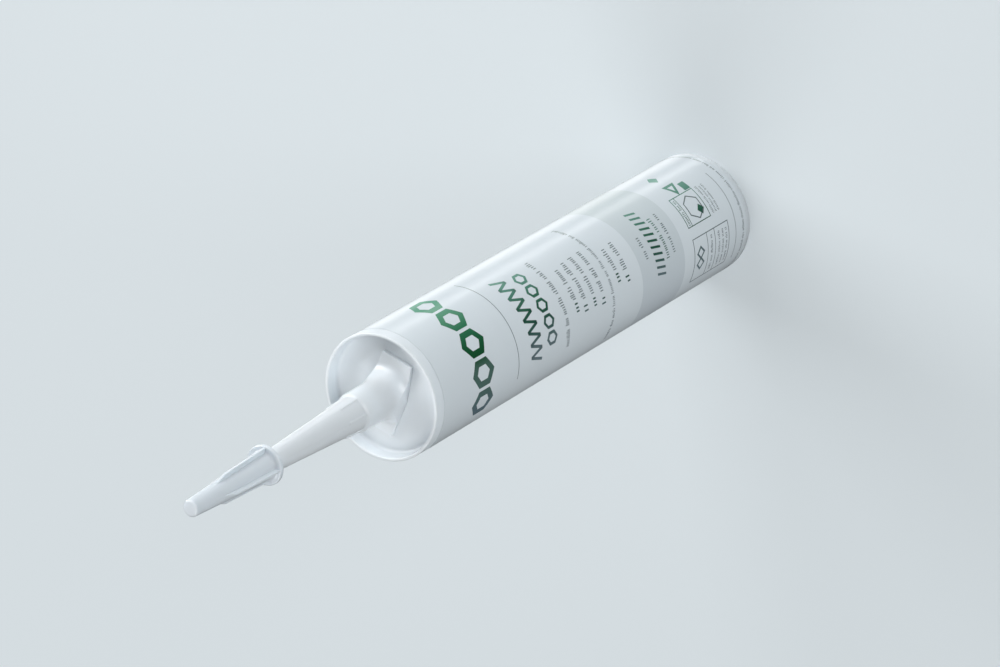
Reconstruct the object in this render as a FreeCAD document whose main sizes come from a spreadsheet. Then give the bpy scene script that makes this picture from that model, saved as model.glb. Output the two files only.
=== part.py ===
import FreeCAD, Part
import math
import os
import Sketcher

# A 310 ml sealant cartridge that stands on the rim of its open rear end.
# Row frame: millimetres, origin at the centre of the rear rim's plane, +Z along the tube to the
# nozzle, -Y towards the label's printed front. Every piece but the wings, hub ridges, fins, ribs
# and label seam is round about Z.

doc = FreeCAD.newDocument("sealant_cartridge")
sheet = doc.addObject("Spreadsheet::Sheet", "Sizes")

# Driving dimensions in millimetres and degrees, grouped by the piece that they shape.
SIZES = [
    ("barrel_radius", 24.5),
    ("barrel_length", 215.0),
    ("barrel_wall", 1.25),
    ("mouth_chamfer", 0.4),
    ("rim_wall", 1.25),
    ("rim_round", 0.45),
    ("recess_depth", 5.7),
    ("recess_round", 1.5),
    ("head_wall", 2.0),
    ("head_round", 1.0),
    ("neck_radius", 5.9),
    ("neck_bore", 4.6),
    ("neck_height", 13.7),
    ("neck_chamfer", 0.5),
    ("label_thickness", 0.1),
    ("glue_line", 0.03),
    ("label_front_margin", 4.8),
    ("label_rear_margin", 2.6),
    ("label_seam_angle", 0.8),
    ("piston_rear_gap", 3.7),
    ("piston_height", 21.0),
    ("piston_clearance", 0.08),
    ("piston_lip", 2.6),
    ("piston_relief", 0.35),
    ("piston_wall", 1.7),
    ("piston_edge", 1.8),
    ("crown_thickness", 1.8),
    ("crown_dish_radius", 9.0),
    ("crown_dish_depth", 1.2),
    ("crown_dish_slope", 1.6),
    ("rib_thickness", 1.2),
    ("rib_height", 4.5),
    ("rib_count", 6),
    ("sealant_clearance", 0.05),
    ("sealant_gap", 0.3),
    ("stub_gap", 0.6),
    ("thread_depth", 0.7),
    ("thread_clearance", 0.15),
    ("socket_end_gap", 0.6),
    ("socket_shoulder", 0.7),
    ("hub_wall", 0.85),
    ("plate_thickness", 1.7),
    ("wing_angle", 35.5),
    ("wing_reach", 15.2),
    ("wing_end_width", 12.8),
    ("wing_root_margin", 0.4),
    ("flare_reach", 3.4),
    ("flare_height", 9.0),
    ("hub_taper", 0.15),
    ("hub_shoulder", 0.8),
    ("ridge_count", 6),
    ("ridge_width", 0.9),
    ("ridge_rise", 0.3),
    ("ridge_length", 9.4),
    ("spout_start", 23.5),
    ("spout_root_radius", 6.58),
    ("spout_tip_radius", 2.0),
    ("spout_wall", 1.15),
    ("nozzle_length", 112.0),
    ("cap_start", 73.9),
    ("cap_length", 43.8),
    ("cap_clearance", 0.2),
    ("cap_tip_wall", 1.2),
    ("cap_root_radius", 5.3),
    ("cap_tip_radius", 3.05),
    ("cap_tip_round", 0.5),
    ("flange_radius", 7.5),
    ("flange_thickness", 1.8),
    ("flange_round", 0.6),
    ("flange_root_round", 1.0),
    ("fin_count", 4),
    ("fin_angle", -31.0),
    ("fin_thickness", 1.0),
    ("fin_root_radius", 6.5),
    ("fin_end_radius", 5.4),
    ("fin_length", 24.1),
    ("fin_chamfer", 3.3),
]
for row, (alias, value) in enumerate(SIZES, start=1):
    sheet.set("A%d" % row, alias)
    sheet.set("B%d" % row, str(value))
    sheet.setAlias("B%d" % row, alias)
doc.recompute()


def size(words):
    """A formula in the sheet's words, with each alias written as the sheet's own cell."""
    for alias in sorted((alias for alias, value in SIZES), key=len, reverse=True):
        words = words.replace("<" + alias + ">", "Sizes." + alias)
    return words


def number(words):
    """What such a formula comes to."""
    return float(sheet.evalExpression(size(words)))


def new_body(label):
    """An empty body whose name and label are the piece's."""
    body = doc.addObject("PartDesign::Body", label)
    body.Label = label
    return body


def origin_part(body, role):
    """One of the body's own origin planes or axes."""
    return next(part for part in body.Origin.OriginFeatures if part.Role == role)


def tie_point(sketch, index, end, along, up):
    """Tie one end of a segment to the sketch's origin by two formulas."""
    axes = (("DistanceX", -2, along), ("DistanceY", -1, up))
    for kind, axis, words in axes:
        if words == "0":
            sketch.addConstraint(Sketcher.Constraint("PointOnObject", index, end, axis))
            continue
        row = sketch.addConstraint(Sketcher.Constraint(kind, -1, 1, index, end, number(words)))
        sketch.setExpression("Constraints[%d]" % row, size(words))


def arc_between(start, finish, radius):
    """The short arc between two points, with its centre on the left for a positive radius."""
    chord = finish.sub(start)
    rise = math.sqrt(radius * radius - chord.Length * chord.Length / 4.0)
    left = FreeCAD.Vector(-chord.y, chord.x, 0).normalize()
    centre = start.add(finish).multiply(0.5).add(left.multiply(math.copysign(rise, radius)))
    ends = (start, finish) if radius > 0 else (finish, start)
    angles = [math.atan2(point.y - centre.y, point.x - centre.x) for point in ends]
    circle = Part.Circle(centre, FreeCAD.Vector(0, 0, 1), abs(radius))
    return Part.ArcOfCircle(circle, angles[0], angles[1])


def new_sketch(body, name, role):
    """A sketch on one of the body's own origin planes."""
    sketch = body.newObject("Sketcher::SketchObject", name)
    sketch.AttachmentSupport = (origin_part(body, role), [""])
    sketch.MapMode = "FlatFace"
    doc.recompute()
    return sketch


def outline(body, name, corners, role="XZ_Plane"):
    """A closed outline on an origin plane.

    Each corner is (along, up) in formulas. A third formula makes the side that starts there
    an arc of that radius, which turns left when it is positive and right when it is negative.
    """
    sketch = new_sketch(body, name, role)
    points = [FreeCAD.Vector(number(corner[0]), number(corner[1]), 0) for corner in corners]
    first_end = []
    for index, corner in enumerate(corners):
        start = points[index]
        finish = points[(index + 1) % len(points)]
        radius = number(corner[2]) if len(corner) == 3 else 0.0
        side = arc_between(start, finish, radius) if radius else Part.LineSegment(start, finish)
        sketch.addGeometry(side, False)
        first_end.append(2 if radius < 0 else 1)
    for index in range(len(corners)):
        following = (index + 1) % len(corners)
        sketch.addConstraint(Sketcher.Constraint(
            "Coincident", index, 3 - first_end[index], following, first_end[following]))
    for index, corner in enumerate(corners):
        tie_point(sketch, index, first_end[index], corner[0], corner[1])
        if len(corner) == 3:
            radius = abs(number(corner[2]))
            row = sketch.addConstraint(Sketcher.Constraint("Radius", index, radius))
            sketch.setExpression("Constraints[%d]" % row, size("abs(%s)" % corner[2]))
    doc.recompute()
    return sketch


def turned(body, name, corners, kind="PartDesign::Revolution"):
    """A profile turned about the body's own Z axis, added or, as a groove, taken away."""
    feature = body.newObject(kind, name)
    feature.Profile = outline(body, name + "_profile", corners)
    feature.ReferenceAxis = (feature.Profile[0], ["V_Axis"])
    feature.Angle = 360.0
    doc.recompute()
    return feature


def ring_edges(shape, radius, height):
    """Names of the round edges that have this radius at this height."""
    names = []
    for index, edge in enumerate(shape.Edges, start=1):
        curve = edge.Curve
        if not isinstance(curve, Part.Circle):
            continue
        if abs(curve.Radius - radius) < 1e-4 and abs(curve.Center.z - height) < 1e-4:
            names.append("Edge%d" % index)
    return names


def round_rings(body, name, rings, radius):
    """Round the ring edges at the given (radius, height) formulas."""
    base = body.Tip
    names = []
    for ring_radius, height in rings:
        names += ring_edges(base.Shape, number(ring_radius), number(height))
    fillet = body.newObject("PartDesign::Fillet", name)
    fillet.Base = (base, names)
    fillet.setExpression("Radius", size(radius))
    doc.recompute()
    return fillet


def repeat_round(body, name, feature, count):
    """Repeat a feature evenly round the body's own Z axis."""
    pattern = body.newObject("PartDesign::PolarPattern", name)
    pattern.Originals = [feature]
    pattern.Axis = (origin_part(body, "Z_Axis"), [""])
    pattern.Angle = 360.0
    pattern.setExpression("Occurrences", size(count))
    body.Tip = pattern
    doc.recompute()
    return pattern


def slab(body, name, corners, thickness, role="XZ_Plane"):
    """An outline padded evenly to both sides of its plane."""
    feature = body.newObject("PartDesign::Pad", name)
    feature.Profile = outline(body, name + "_outline", corners, role)
    feature.SideType = "Symmetric"
    feature.setExpression("Length", size(thickness))
    doc.recompute()
    return feature


# Heights and radii that several pieces share, as formulas on the sheet.
INSIDE_RADIUS = "(<barrel_radius> - <barrel_wall>)"
RECESS_RADIUS = "(<barrel_radius> - <rim_wall>)"
SEAT_HEIGHT = "(<barrel_length> - <recess_depth>)"
HEAD_HEIGHT = "(<barrel_length> - <recess_depth> - <head_wall>)"
NECK_TOP = "(<barrel_length> - <recess_depth> + <neck_height>)"
SOCKET_RADIUS = "(<neck_radius> + <thread_depth> + <thread_clearance>)"
HUB_RADIUS = "(<neck_radius> + <thread_depth> + <thread_clearance> + <hub_wall>)"
SPOUT_TAPER = ("((<spout_root_radius> - <spout_tip_radius>)"
               " / (<nozzle_length> - <spout_start>))")


def make_barrel():
    """The moulded tube with its sunk head, thin front rim and the neck that the nozzle fits."""
    body = new_body("barrel")
    turned(body, "tube", [
        (INSIDE_RADIUS + " + <mouth_chamfer>", "0"),
        ("<barrel_radius>", "0"),
        ("<barrel_radius>", "<barrel_length>"),
        (RECESS_RADIUS, "<barrel_length>"),
        (RECESS_RADIUS, SEAT_HEIGHT),
        ("<neck_radius>", SEAT_HEIGHT),
        ("<neck_radius>", NECK_TOP + " - <neck_chamfer>"),
        ("<neck_radius> - <neck_chamfer>", NECK_TOP),
        ("<neck_bore>", NECK_TOP),
        ("<neck_bore>", HEAD_HEIGHT),
        (INSIDE_RADIUS, HEAD_HEIGHT),
        (INSIDE_RADIUS, "<mouth_chamfer>"),
    ])
    round_rings(body, "rim_edges", [
        ("<barrel_radius>", "<barrel_length>"),
        (RECESS_RADIUS, "<barrel_length>"),
    ], "<rim_round>")
    round_rings(body, "recess_corner", [(RECESS_RADIUS, SEAT_HEIGHT)], "<recess_round>")
    round_rings(body, "head_corner", [(INSIDE_RADIUS, HEAD_HEIGHT)], "<head_round>")
    return body


def make_label():
    """The printed film round the tube, with the narrow seam where its ends meet at the back."""
    body = new_body("label")
    inside = "<barrel_radius> + <glue_line>"
    outside = inside + " + <label_thickness>"
    front = "<barrel_length> - <label_front_margin>"
    wrap = turned(body, "wrap", [
        (inside, "<label_rear_margin>"),
        (outside, "<label_rear_margin>"),
        (outside, front),
        (inside, front),
    ])
    wrap.setExpression("Angle", size("360 - <label_seam_angle>"))
    body.setExpression("Placement.Rotation.Angle", size("90 + <label_seam_angle> / 2"))
    doc.recompute()
    return body


def make_piston():
    """The cup that closes the rear: sealing lips at both ends and ribs under its crown."""
    body = new_body("piston")
    lip_radius = INSIDE_RADIUS + " - <piston_clearance>"
    skirt_radius = lip_radius + " - <piston_relief>"
    cup_radius = "(" + skirt_radius + " - <piston_wall>)"
    crown_under = "(<piston_height> - <crown_thickness>)"
    dish_edge = "<crown_dish_radius> + <crown_dish_slope>"
    turned(body, "cup", [
        ("0", crown_under + " - <crown_dish_depth>"),
        ("<crown_dish_radius>", crown_under + " - <crown_dish_depth>"),
        (dish_edge, crown_under),
        (cup_radius, crown_under),
        (cup_radius, "0"),
        (lip_radius, "0"),
        (lip_radius, "<piston_lip>"),
        (skirt_radius, "<piston_lip> + <piston_relief>"),
        (skirt_radius, "<piston_height> - <piston_edge> - <piston_lip> - <piston_relief>"),
        (lip_radius, "<piston_height> - <piston_edge> - <piston_lip>"),
        (lip_radius, "<piston_height> - <piston_edge>"),
        (lip_radius + " - <piston_edge>", "<piston_height>"),
        (dish_edge, "<piston_height>"),
        ("<crown_dish_radius>", "<piston_height> - <crown_dish_depth>"),
        ("0", "<piston_height> - <crown_dish_depth>"),
    ])
    rib = slab(body, "rib", [
        ("<crown_dish_radius>", crown_under + " - <rib_height>"),
        (cup_radius + " + <piston_wall> / 2", crown_under + " - <rib_height>"),
        (cup_radius + " + <piston_wall> / 2", crown_under + " + <crown_thickness> / 2"),
        (dish_edge, crown_under + " + <crown_thickness> / 2"),
        ("<crown_dish_radius>", crown_under + " - <crown_dish_depth> / 2"),
    ], "<rib_thickness>")
    repeat_round(body, "ribs", rib, "<rib_count>")
    body.setExpression("Placement.Base.z", size("<piston_rear_gap>"))
    doc.recompute()
    return body


def make_sealant():
    """The paste that fills the tube from the piston's crown to the head and the neck's bore."""
    body = new_body("sealant")
    rear = "<piston_rear_gap> + <piston_height> + <sealant_gap>"
    side = INSIDE_RADIUS + " - <sealant_clearance>"
    front = HEAD_HEIGHT + " - <sealant_clearance>"
    stub_radius = "<neck_bore> - <sealant_clearance>"
    turned(body, "fill", [
        ("0", rear + " - <crown_dish_depth>"),
        ("<crown_dish_radius>", rear + " - <crown_dish_depth>"),
        ("<crown_dish_radius> + <crown_dish_slope>", rear),
        (side, rear),
        (side, front + " - <head_round>"),
        (side + " - <head_round>", front),
        (stub_radius, front),
        (stub_radius, NECK_TOP + " - <stub_gap>"),
        ("0", NECK_TOP + " - <stub_gap>"),
    ])
    return body


def make_nozzle():
    """The screwed nozzle: winged plate, flared hub, and a long tapered spout with low ridges."""
    body = new_body("nozzle")
    half_end = "<wing_end_width> / 2"
    half_root = "(" + HUB_RADIUS + " + <wing_root_margin>)"
    flare_top = "(<plate_thickness> + <flare_height>)"
    hub_end = "(<spout_start> - <hub_shoulder>)"
    wings = body.newObject("PartDesign::Pad", "wings")
    wings.Profile = outline(body, "wings_outline", [
        ("<wing_reach>", "0 - " + half_end),
        ("<wing_reach>", half_end),
        ("0", half_root),
        ("0 - <wing_reach>", half_end),
        ("0 - <wing_reach>", "0 - " + half_end),
        ("0", "0 - " + half_root),
    ], "XY_Plane")
    wings.setExpression("Length", size(flare_top))
    doc.recompute()
    flare_radius = "(<flare_reach> * <flare_reach> + <flare_height> * <flare_height>)"
    beyond = "<wing_reach> + <wing_end_width>"
    turned(body, "flare", [
        (HUB_RADIUS, flare_top, "0 - " + flare_radius + " / (2 * <flare_reach>)"),
        (HUB_RADIUS + " + <flare_reach>", "<plate_thickness>"),
        (beyond, "<plate_thickness>"),
        (beyond, flare_top + " + <flare_height>"),
        (HUB_RADIUS, flare_top + " + <flare_height>"),
    ], "PartDesign::Groove")
    turned(body, "spout", [
        ("0", "0"),
        (HUB_RADIUS, "0"),
        (HUB_RADIUS, flare_top),
        (HUB_RADIUS + " - <hub_taper>", hub_end),
        ("<spout_root_radius>", "<spout_start>"),
        ("<spout_tip_radius>", "<nozzle_length>"),
        ("0", "<nozzle_length>"),
    ])
    ridge_end = "(<spout_start> + <ridge_length>)"
    inner = "<spout_root_radius> / 2"
    ridge = slab(body, "ridge", [
        (inner, hub_end),
        ("<spout_root_radius> + <ridge_rise> + <hub_shoulder> * " + SPOUT_TAPER, hub_end),
        ("<spout_root_radius> + <ridge_rise> - <ridge_length> * " + SPOUT_TAPER, ridge_end),
        (inner, ridge_end + " + <ridge_rise> * 2"),
    ], "<ridge_width>")
    repeat_round(body, "ridges", ridge, "<ridge_count>")
    turned(body, "bore", [
        ("0", "0"),
        (SOCKET_RADIUS, "0"),
        (SOCKET_RADIUS, "<neck_height> + <socket_end_gap>"),
        (SOCKET_RADIUS + " - <socket_shoulder>", "<neck_height> + <socket_end_gap>"),
        ("<spout_root_radius> - <spout_wall>", "<spout_start>"),
        ("<spout_tip_radius> - <spout_wall>", "<nozzle_length>"),
        ("0", "<nozzle_length>"),
    ], "PartDesign::Groove")
    body.setExpression("Placement.Base.z", size(SEAT_HEIGHT))
    body.setExpression("Placement.Rotation.Angle", size("<wing_angle> - 90"))
    doc.recompute()
    return body


def make_nozzle_cap():
    """The push-on cap: round flange, tapered body with a closed tip, and fins to pull it by."""
    body = new_body("nozzle_cap")
    turned(body, "shell", [
        ("0", "0"),
        ("<flange_radius>", "0"),
        ("<flange_radius>", "<flange_thickness>"),
        ("<cap_root_radius>", "<flange_thickness>"),
        ("<cap_tip_radius>", "<cap_length>"),
        ("0", "<cap_length>"),
    ])
    round_rings(body, "flange_edges", [
        ("<flange_radius>", "0"),
        ("<flange_radius>", "<flange_thickness>"),
    ], "<flange_round>")
    round_rings(body, "flange_root", [("<cap_root_radius>", "<flange_thickness>")],
                "<flange_root_round>")
    round_rings(body, "tip_edge", [("<cap_tip_radius>", "<cap_length>")], "<cap_tip_round>")
    inner = "<cap_tip_radius> / 2"
    fin = slab(body, "fin", [
        (inner, "<flange_thickness> / 2"),
        ("<fin_root_radius>", "<flange_thickness> / 2"),
        ("<fin_end_radius>", "<fin_length>"),
        (inner, "<fin_length> + <fin_chamfer> * 2"),
    ], "<fin_thickness>")
    repeat_round(body, "fins", fin, "<fin_count>")
    mouth = ("(<spout_tip_radius> + (<nozzle_length> - <cap_start>) * "
             + SPOUT_TAPER + " + <cap_clearance>)")
    roof = "(<cap_length> - <cap_tip_wall>)"
    turned(body, "hollow", [
        ("0", "0"),
        (mouth, "0"),
        (mouth + " - " + roof + " * " + SPOUT_TAPER, roof),
        ("0", roof),
    ], "PartDesign::Groove")
    body.setExpression("Placement.Base.z", size(SEAT_HEIGHT + " + <cap_start>"))
    body.setExpression("Placement.Rotation.Angle", size("<fin_angle> - 90"))
    doc.recompute()
    return body


pieces = [
    make_barrel(),
    make_label(),
    make_piston(),
    make_sealant(),
    make_nozzle(),
    make_nozzle_cap(),
]
doc.recompute()

for item in doc.Objects:
    for flag in ("Invalid", "Error"):
        if flag in item.State:
            raise RuntimeError("%s is marked %s" % (item.Label, flag))
for piece in pieces:
    if piece.Shape.isNull() or not piece.Shape.isValid():
        raise RuntimeError("%s has no valid shape" % piece.Label)
    if len(piece.Shape.Solids) != 1:
        raise RuntimeError("%s is %d solids, not one" % (piece.Label, len(piece.Shape.Solids)))

os.makedirs("parts", exist_ok=True)
for piece in pieces:
    piece.Shape.exportStep("parts/%s.step" % piece.Label)
    box = piece.Shape.BoundBox
    print("%-12s volume %10.1f mm3, z %.2f to %.2f, across %.2f"
          % (piece.Label, piece.Shape.Volume, box.ZMin, box.ZMax, box.XLength))
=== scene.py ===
"""Looks of a sealant cartridge: moulded tube, printed film, piston, paste, nozzle and cap.

Sizes are written in millimetres and turned to metres as each mesh is made. The row frame has its
origin at the centre of the rear rim, +Z along the tube to the nozzle and -Y to the printed front.
"""

import logging
import math
import random
from dataclasses import dataclass, field, replace
from enum import Enum
from typing import Any, Callable, Iterable, Sequence

import bmesh
import bpy
from mathutils import Matrix, Vector


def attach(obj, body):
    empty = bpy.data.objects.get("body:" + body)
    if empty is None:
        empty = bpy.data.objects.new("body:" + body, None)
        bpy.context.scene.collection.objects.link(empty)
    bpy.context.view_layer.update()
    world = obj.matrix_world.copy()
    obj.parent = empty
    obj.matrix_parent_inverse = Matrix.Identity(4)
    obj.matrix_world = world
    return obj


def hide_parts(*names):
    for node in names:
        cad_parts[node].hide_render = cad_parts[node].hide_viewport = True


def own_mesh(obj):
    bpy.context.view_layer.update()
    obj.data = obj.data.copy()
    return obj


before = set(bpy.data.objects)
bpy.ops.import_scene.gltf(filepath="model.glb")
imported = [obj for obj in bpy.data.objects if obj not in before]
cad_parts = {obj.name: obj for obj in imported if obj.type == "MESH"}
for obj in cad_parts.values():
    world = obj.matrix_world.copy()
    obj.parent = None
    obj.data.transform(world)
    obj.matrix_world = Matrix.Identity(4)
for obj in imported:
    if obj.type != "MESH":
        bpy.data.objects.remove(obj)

MM = 0.001
FULL_TURN = 2.0 * math.pi
# Points of a mesh nearer than this, in metres, are one point.
WELD = 1e-7
# Points nearer to a cutting plane than this, in metres, lie on it.
ON_CUT = 1e-8
# Edges shorter than this, in metres, are what a union leaves behind.
SLIVER = 2e-6
# Edges that turn further than this stay crisp.
CREASE_DEG = 32.0
# Red, green and blue go equally deep into these plastics.
EVEN_DEPTH = (1.0, 1.0, 1.0)
# Sockets of a Mix node that blends colours; its other kinds have sockets of the same names.
MIX_FACTOR, MIX_FIRST, MIX_SECOND, MIX_RESULT = 0, 6, 7, 2
# How many sides the print's plain figures have.
NUT = 6
DIAMOND = 4
TRIANGLE = 3
LOG = logging.getLogger("cartridge")

Colour = tuple[float, float, float, float]


def linear(code: str) -> Colour:
    """Turn an sRGB colour to linear light.

    Args:
        code: Six hex digits, red first.

    Returns:
        Linear red, green and blue, with an alpha of 1.
    """
    levels = [int(code[start:start + 2], 16) / 255.0 for start in (0, 2, 4)]
    bent = [x / 12.92 if x <= 0.04045 else ((x + 0.055) / 1.055) ** 2.4 for x in levels]
    return bent[0], bent[1], bent[2], 1.0


def per_metre(size_mm: float) -> float:
    """Texture scale on Object coordinates for features of this size in millimetres."""
    return 1.0 / (size_mm * MM)


def add_node(tree: bpy.types.NodeTree, kind: str, settings: dict[str, Any] | None = None,
             links: dict[str, bpy.types.NodeSocket] | None = None) -> bpy.types.Node:
    """Add a node with its settings and its incoming links.

    Args:
        tree: Node tree that takes the node.
        kind: The node's type name.
        settings: Values by input name, or by property name in lower case.
        links: Output sockets by the input that each one feeds.

    Returns:
        The new node.
    """
    node = tree.nodes.new(kind)
    for name, value in (settings or {}).items():
        if name in node.inputs:
            node.inputs[name].default_value = value
        else:
            setattr(node, name, value)
    for name, source in (links or {}).items():
        tree.links.new(source, node.inputs[name])
    return node


def new_material(name: str) -> tuple[bpy.types.Material, bpy.types.NodeTree]:
    """Make an empty node material.

    Args:
        name: The material's name.

    Returns:
        The material and its cleared node tree.
    """
    material = bpy.data.materials.new(name)
    material.use_nodes = True
    material.node_tree.nodes.clear()
    return material, material.node_tree


# Finishes


@dataclass(frozen=True)
class MouldedPolyethylene:
    """Moulded polyethylene: soft sheen, faint orange peel, and light that sinks in a little."""

    name: str
    colour: str
    cloud: str
    roughness: float
    depth_mm: float
    depth_share: float
    skin: float = 0.0
    skin_roughness: float = 0.16
    ior: float = 1.51
    duller: float = 0.04
    shinier: float = 0.03
    # The real peel is finer than this, and would not show at the photograph's scale.
    peel_mm: float = 0.9
    peel_height_mm: float = 0.012
    cloud_mm: float = 14.0

    def build(self) -> bpy.types.Material:
        """Build the material.

        Returns:
            The finished material.
        """
        material, tree = new_material(self.name)
        place = add_node(tree, "ShaderNodeTexCoord").outputs["Object"]
        clouds = add_node(tree, "ShaderNodeTexNoise",
                          {"Scale": per_metre(self.cloud_mm), "Detail": 3.0, "Roughness": 0.55},
                          {"Vector": place})
        tint = add_node(tree, "ShaderNodeMix", {"data_type": "RGBA"})
        tree.links.new(clouds.outputs["Fac"], tint.inputs[MIX_FACTOR])
        tint.inputs[MIX_FIRST].default_value = linear(self.colour)
        tint.inputs[MIX_SECOND].default_value = linear(self.cloud)
        peel = add_node(tree, "ShaderNodeTexNoise",
                        {"Scale": per_metre(self.peel_mm), "Detail": 2.0},
                        {"Vector": place})
        sheen = add_node(tree, "ShaderNodeMapRange",
                         {"To Min": self.roughness - self.shinier,
                          "To Max": self.roughness + self.duller},
                         {"Value": clouds.outputs["Fac"]})
        bump = add_node(tree, "ShaderNodeBump",
                        {"Strength": 0.5, "Distance": self.peel_height_mm * MM},
                        {"Height": peel.outputs["Fac"]})
        shader = add_node(tree, "ShaderNodeBsdfPrincipled",
                          {"IOR": self.ior, "Subsurface Weight": self.depth_share,
                           "Subsurface Scale": self.depth_mm * MM,
                           "Subsurface Radius": EVEN_DEPTH,
                           "Coat Weight": self.skin, "Coat Roughness": self.skin_roughness},
                          {"Base Color": tint.outputs[MIX_RESULT],
                           "Roughness": sheen.outputs["Result"],
                           "Normal": bump.outputs["Normal"]})
        add_node(tree, "ShaderNodeOutputMaterial", links={"Surface": shader.outputs["BSDF"]})
        return material


@dataclass(frozen=True)
class CastFilm:
    """Glossy white polypropylene label film, flexo printed and varnished: it mirrors softly."""

    name: str = "glossy_label_film"
    colour: str = "DDE4E8"
    cloud: str = "D6DEE3"
    roughness: float = 0.24
    ior: float = 1.49
    ripple_mm: float = 30.0
    ripple_height_mm: float = 0.1

    def build(self) -> bpy.types.Material:
        """Build the material.

        Returns:
            The finished material.
        """
        material, tree = new_material(self.name)
        place = add_node(tree, "ShaderNodeTexCoord").outputs["Object"]
        ripple = add_node(tree, "ShaderNodeTexNoise",
                          {"Scale": per_metre(self.ripple_mm), "Detail": 2.0},
                          {"Vector": place})
        tint = add_node(tree, "ShaderNodeMix", {"data_type": "RGBA"})
        tree.links.new(ripple.outputs["Fac"], tint.inputs[MIX_FACTOR])
        tint.inputs[MIX_FIRST].default_value = linear(self.colour)
        tint.inputs[MIX_SECOND].default_value = linear(self.cloud)
        bump = add_node(tree, "ShaderNodeBump",
                        {"Strength": 0.4, "Distance": self.ripple_height_mm * MM},
                        {"Height": ripple.outputs["Fac"]})
        shader = add_node(tree, "ShaderNodeBsdfPrincipled",
                          {"Roughness": self.roughness, "IOR": self.ior},
                          {"Base Color": tint.outputs[MIX_RESULT],
                           "Normal": bump.outputs["Normal"]})
        add_node(tree, "ShaderNodeOutputMaterial", links={"Surface": shader.outputs["BSDF"]})
        return material


@dataclass(frozen=True)
class FlexoInkWithPaintedLight:
    """Flexo ink under varnish whose colour runs round the tube from one tone to the next, with
    light and shade painted into that run.
    """

    name: str
    ink_and_painted_light_tones: tuple[tuple[float, str], ...]
    roughness: float = 0.26
    ior: float = 1.49

    def build(self) -> bpy.types.Material:
        """Build the material; each tone is given with its angle from the front in degrees.

        Returns:
            The finished material.
        """
        material, tree = new_material(self.name)
        place = add_node(tree, "ShaderNodeTexCoord").outputs["Object"]
        # The radial gradient is half way at +X, so the front is turned there.
        facing = add_node(tree, "ShaderNodeMapping", {"Rotation": (0.0, 0.0, math.radians(90.0))},
                          {"Vector": place})
        angle = add_node(tree, "ShaderNodeTexGradient", {"gradient_type": "RADIAL"},
                         {"Vector": facing.outputs["Vector"]})
        # Painted light: the tones by angle paint a reflection on the left of the tube and a
        # highlight on the right into the ink's colour.
        ramp = add_node(tree, "ShaderNodeValToRGB", links={"Fac": angle.outputs["Fac"]})
        stops = ramp.color_ramp.elements
        while len(stops) < len(self.ink_and_painted_light_tones):
            stops.new(0.5)
        for stop, (degrees, code) in zip(stops, self.ink_and_painted_light_tones):
            stop.position = 0.5 + degrees / 360.0
            stop.color = linear(code)
        shader = add_node(tree, "ShaderNodeBsdfPrincipled",
                          {"Roughness": self.roughness, "IOR": self.ior},
                          {"Base Color": ramp.outputs["Color"]})
        add_node(tree, "ShaderNodeOutputMaterial", links={"Surface": shader.outputs["BSDF"]})
        return material


@dataclass(frozen=True)
class SealantPaste:
    """White acrylic sealant: a smooth thick paste with a moist sheen and faint drag marks."""

    name: str = "white_acrylic_paste"
    colour: str = "F0EFEA"
    roughness: float = 0.42
    depth_mm: float = 1.0
    depth_share: float = 0.2
    drag_mm: float = 5.0
    drag_height_mm: float = 0.2

    def build(self) -> bpy.types.Material:
        """Build the material.

        Returns:
            The finished material.
        """
        material, tree = new_material(self.name)
        place = add_node(tree, "ShaderNodeTexCoord").outputs["Object"]
        drag = add_node(tree, "ShaderNodeTexNoise",
                        {"Scale": per_metre(self.drag_mm), "Detail": 4.0, "Distortion": 0.6},
                        {"Vector": place})
        bump = add_node(tree, "ShaderNodeBump",
                        {"Strength": 0.6, "Distance": self.drag_height_mm * MM},
                        {"Height": drag.outputs["Fac"]})
        shader = add_node(tree, "ShaderNodeBsdfPrincipled",
                          {"Base Color": linear(self.colour), "Roughness": self.roughness,
                           "Subsurface Weight": self.depth_share,
                           "Subsurface Scale": self.depth_mm * MM,
                           "Subsurface Radius": EVEN_DEPTH},
                          {"Normal": bump.outputs["Normal"]})
        add_node(tree, "ShaderNodeOutputMaterial", links={"Surface": shader.outputs["BSDF"]})
        return material


@dataclass(frozen=True)
class PaleFloor:
    """Matt studio floor that stays pale to the camera and keeps the object's shadow."""

    name: str = "matt_studio_floor"
    colour: str = "D5DDE1"
    near_share: float = 0.3
    near: float = 0.14
    far: float = 0.6

    def build(self) -> bpy.types.Material:
        """Build the material; its glow takes over with the distance from the object.

        Returns:
            The finished material.
        """
        material, tree = new_material(self.name)
        path = add_node(tree, "ShaderNodeLightPath")
        paint = add_node(tree, "ShaderNodeBsdfDiffuse", {"Color": linear(self.colour)})
        glow = add_node(tree, "ShaderNodeEmission", {"Color": linear(self.colour)})
        place = add_node(tree, "ShaderNodeTexCoord").outputs["Object"]
        away = add_node(tree, "ShaderNodeVectorMath", {"operation": "LENGTH"})
        tree.links.new(place, away.inputs[0])
        blend = add_node(tree, "ShaderNodeMapRange",
                         {"interpolation_type": "SMOOTHSTEP", "From Min": self.near,
                          "From Max": self.far, "To Min": self.near_share, "To Max": 1.0},
                         {"Value": away.outputs["Value"]})
        share = add_node(tree, "ShaderNodeMath", {"operation": "MULTIPLY"})
        tree.links.new(path.outputs["Is Camera Ray"], share.inputs[0])
        tree.links.new(blend.outputs["Result"], share.inputs[1])
        both = add_node(tree, "ShaderNodeMixShader", links={"Fac": share.outputs[0]})
        tree.links.new(paint.outputs[0], both.inputs[1])
        tree.links.new(glow.outputs[0], both.inputs[2])
        add_node(tree, "ShaderNodeOutputMaterial", links={"Surface": both.outputs[0]})
        return material


# Mesh tools


@dataclass(frozen=True)
class Corner:
    """A corner of a turned profile, in millimetres."""

    radius: float
    height: float
    round: float = 0.0
    segments: int = 5


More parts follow.
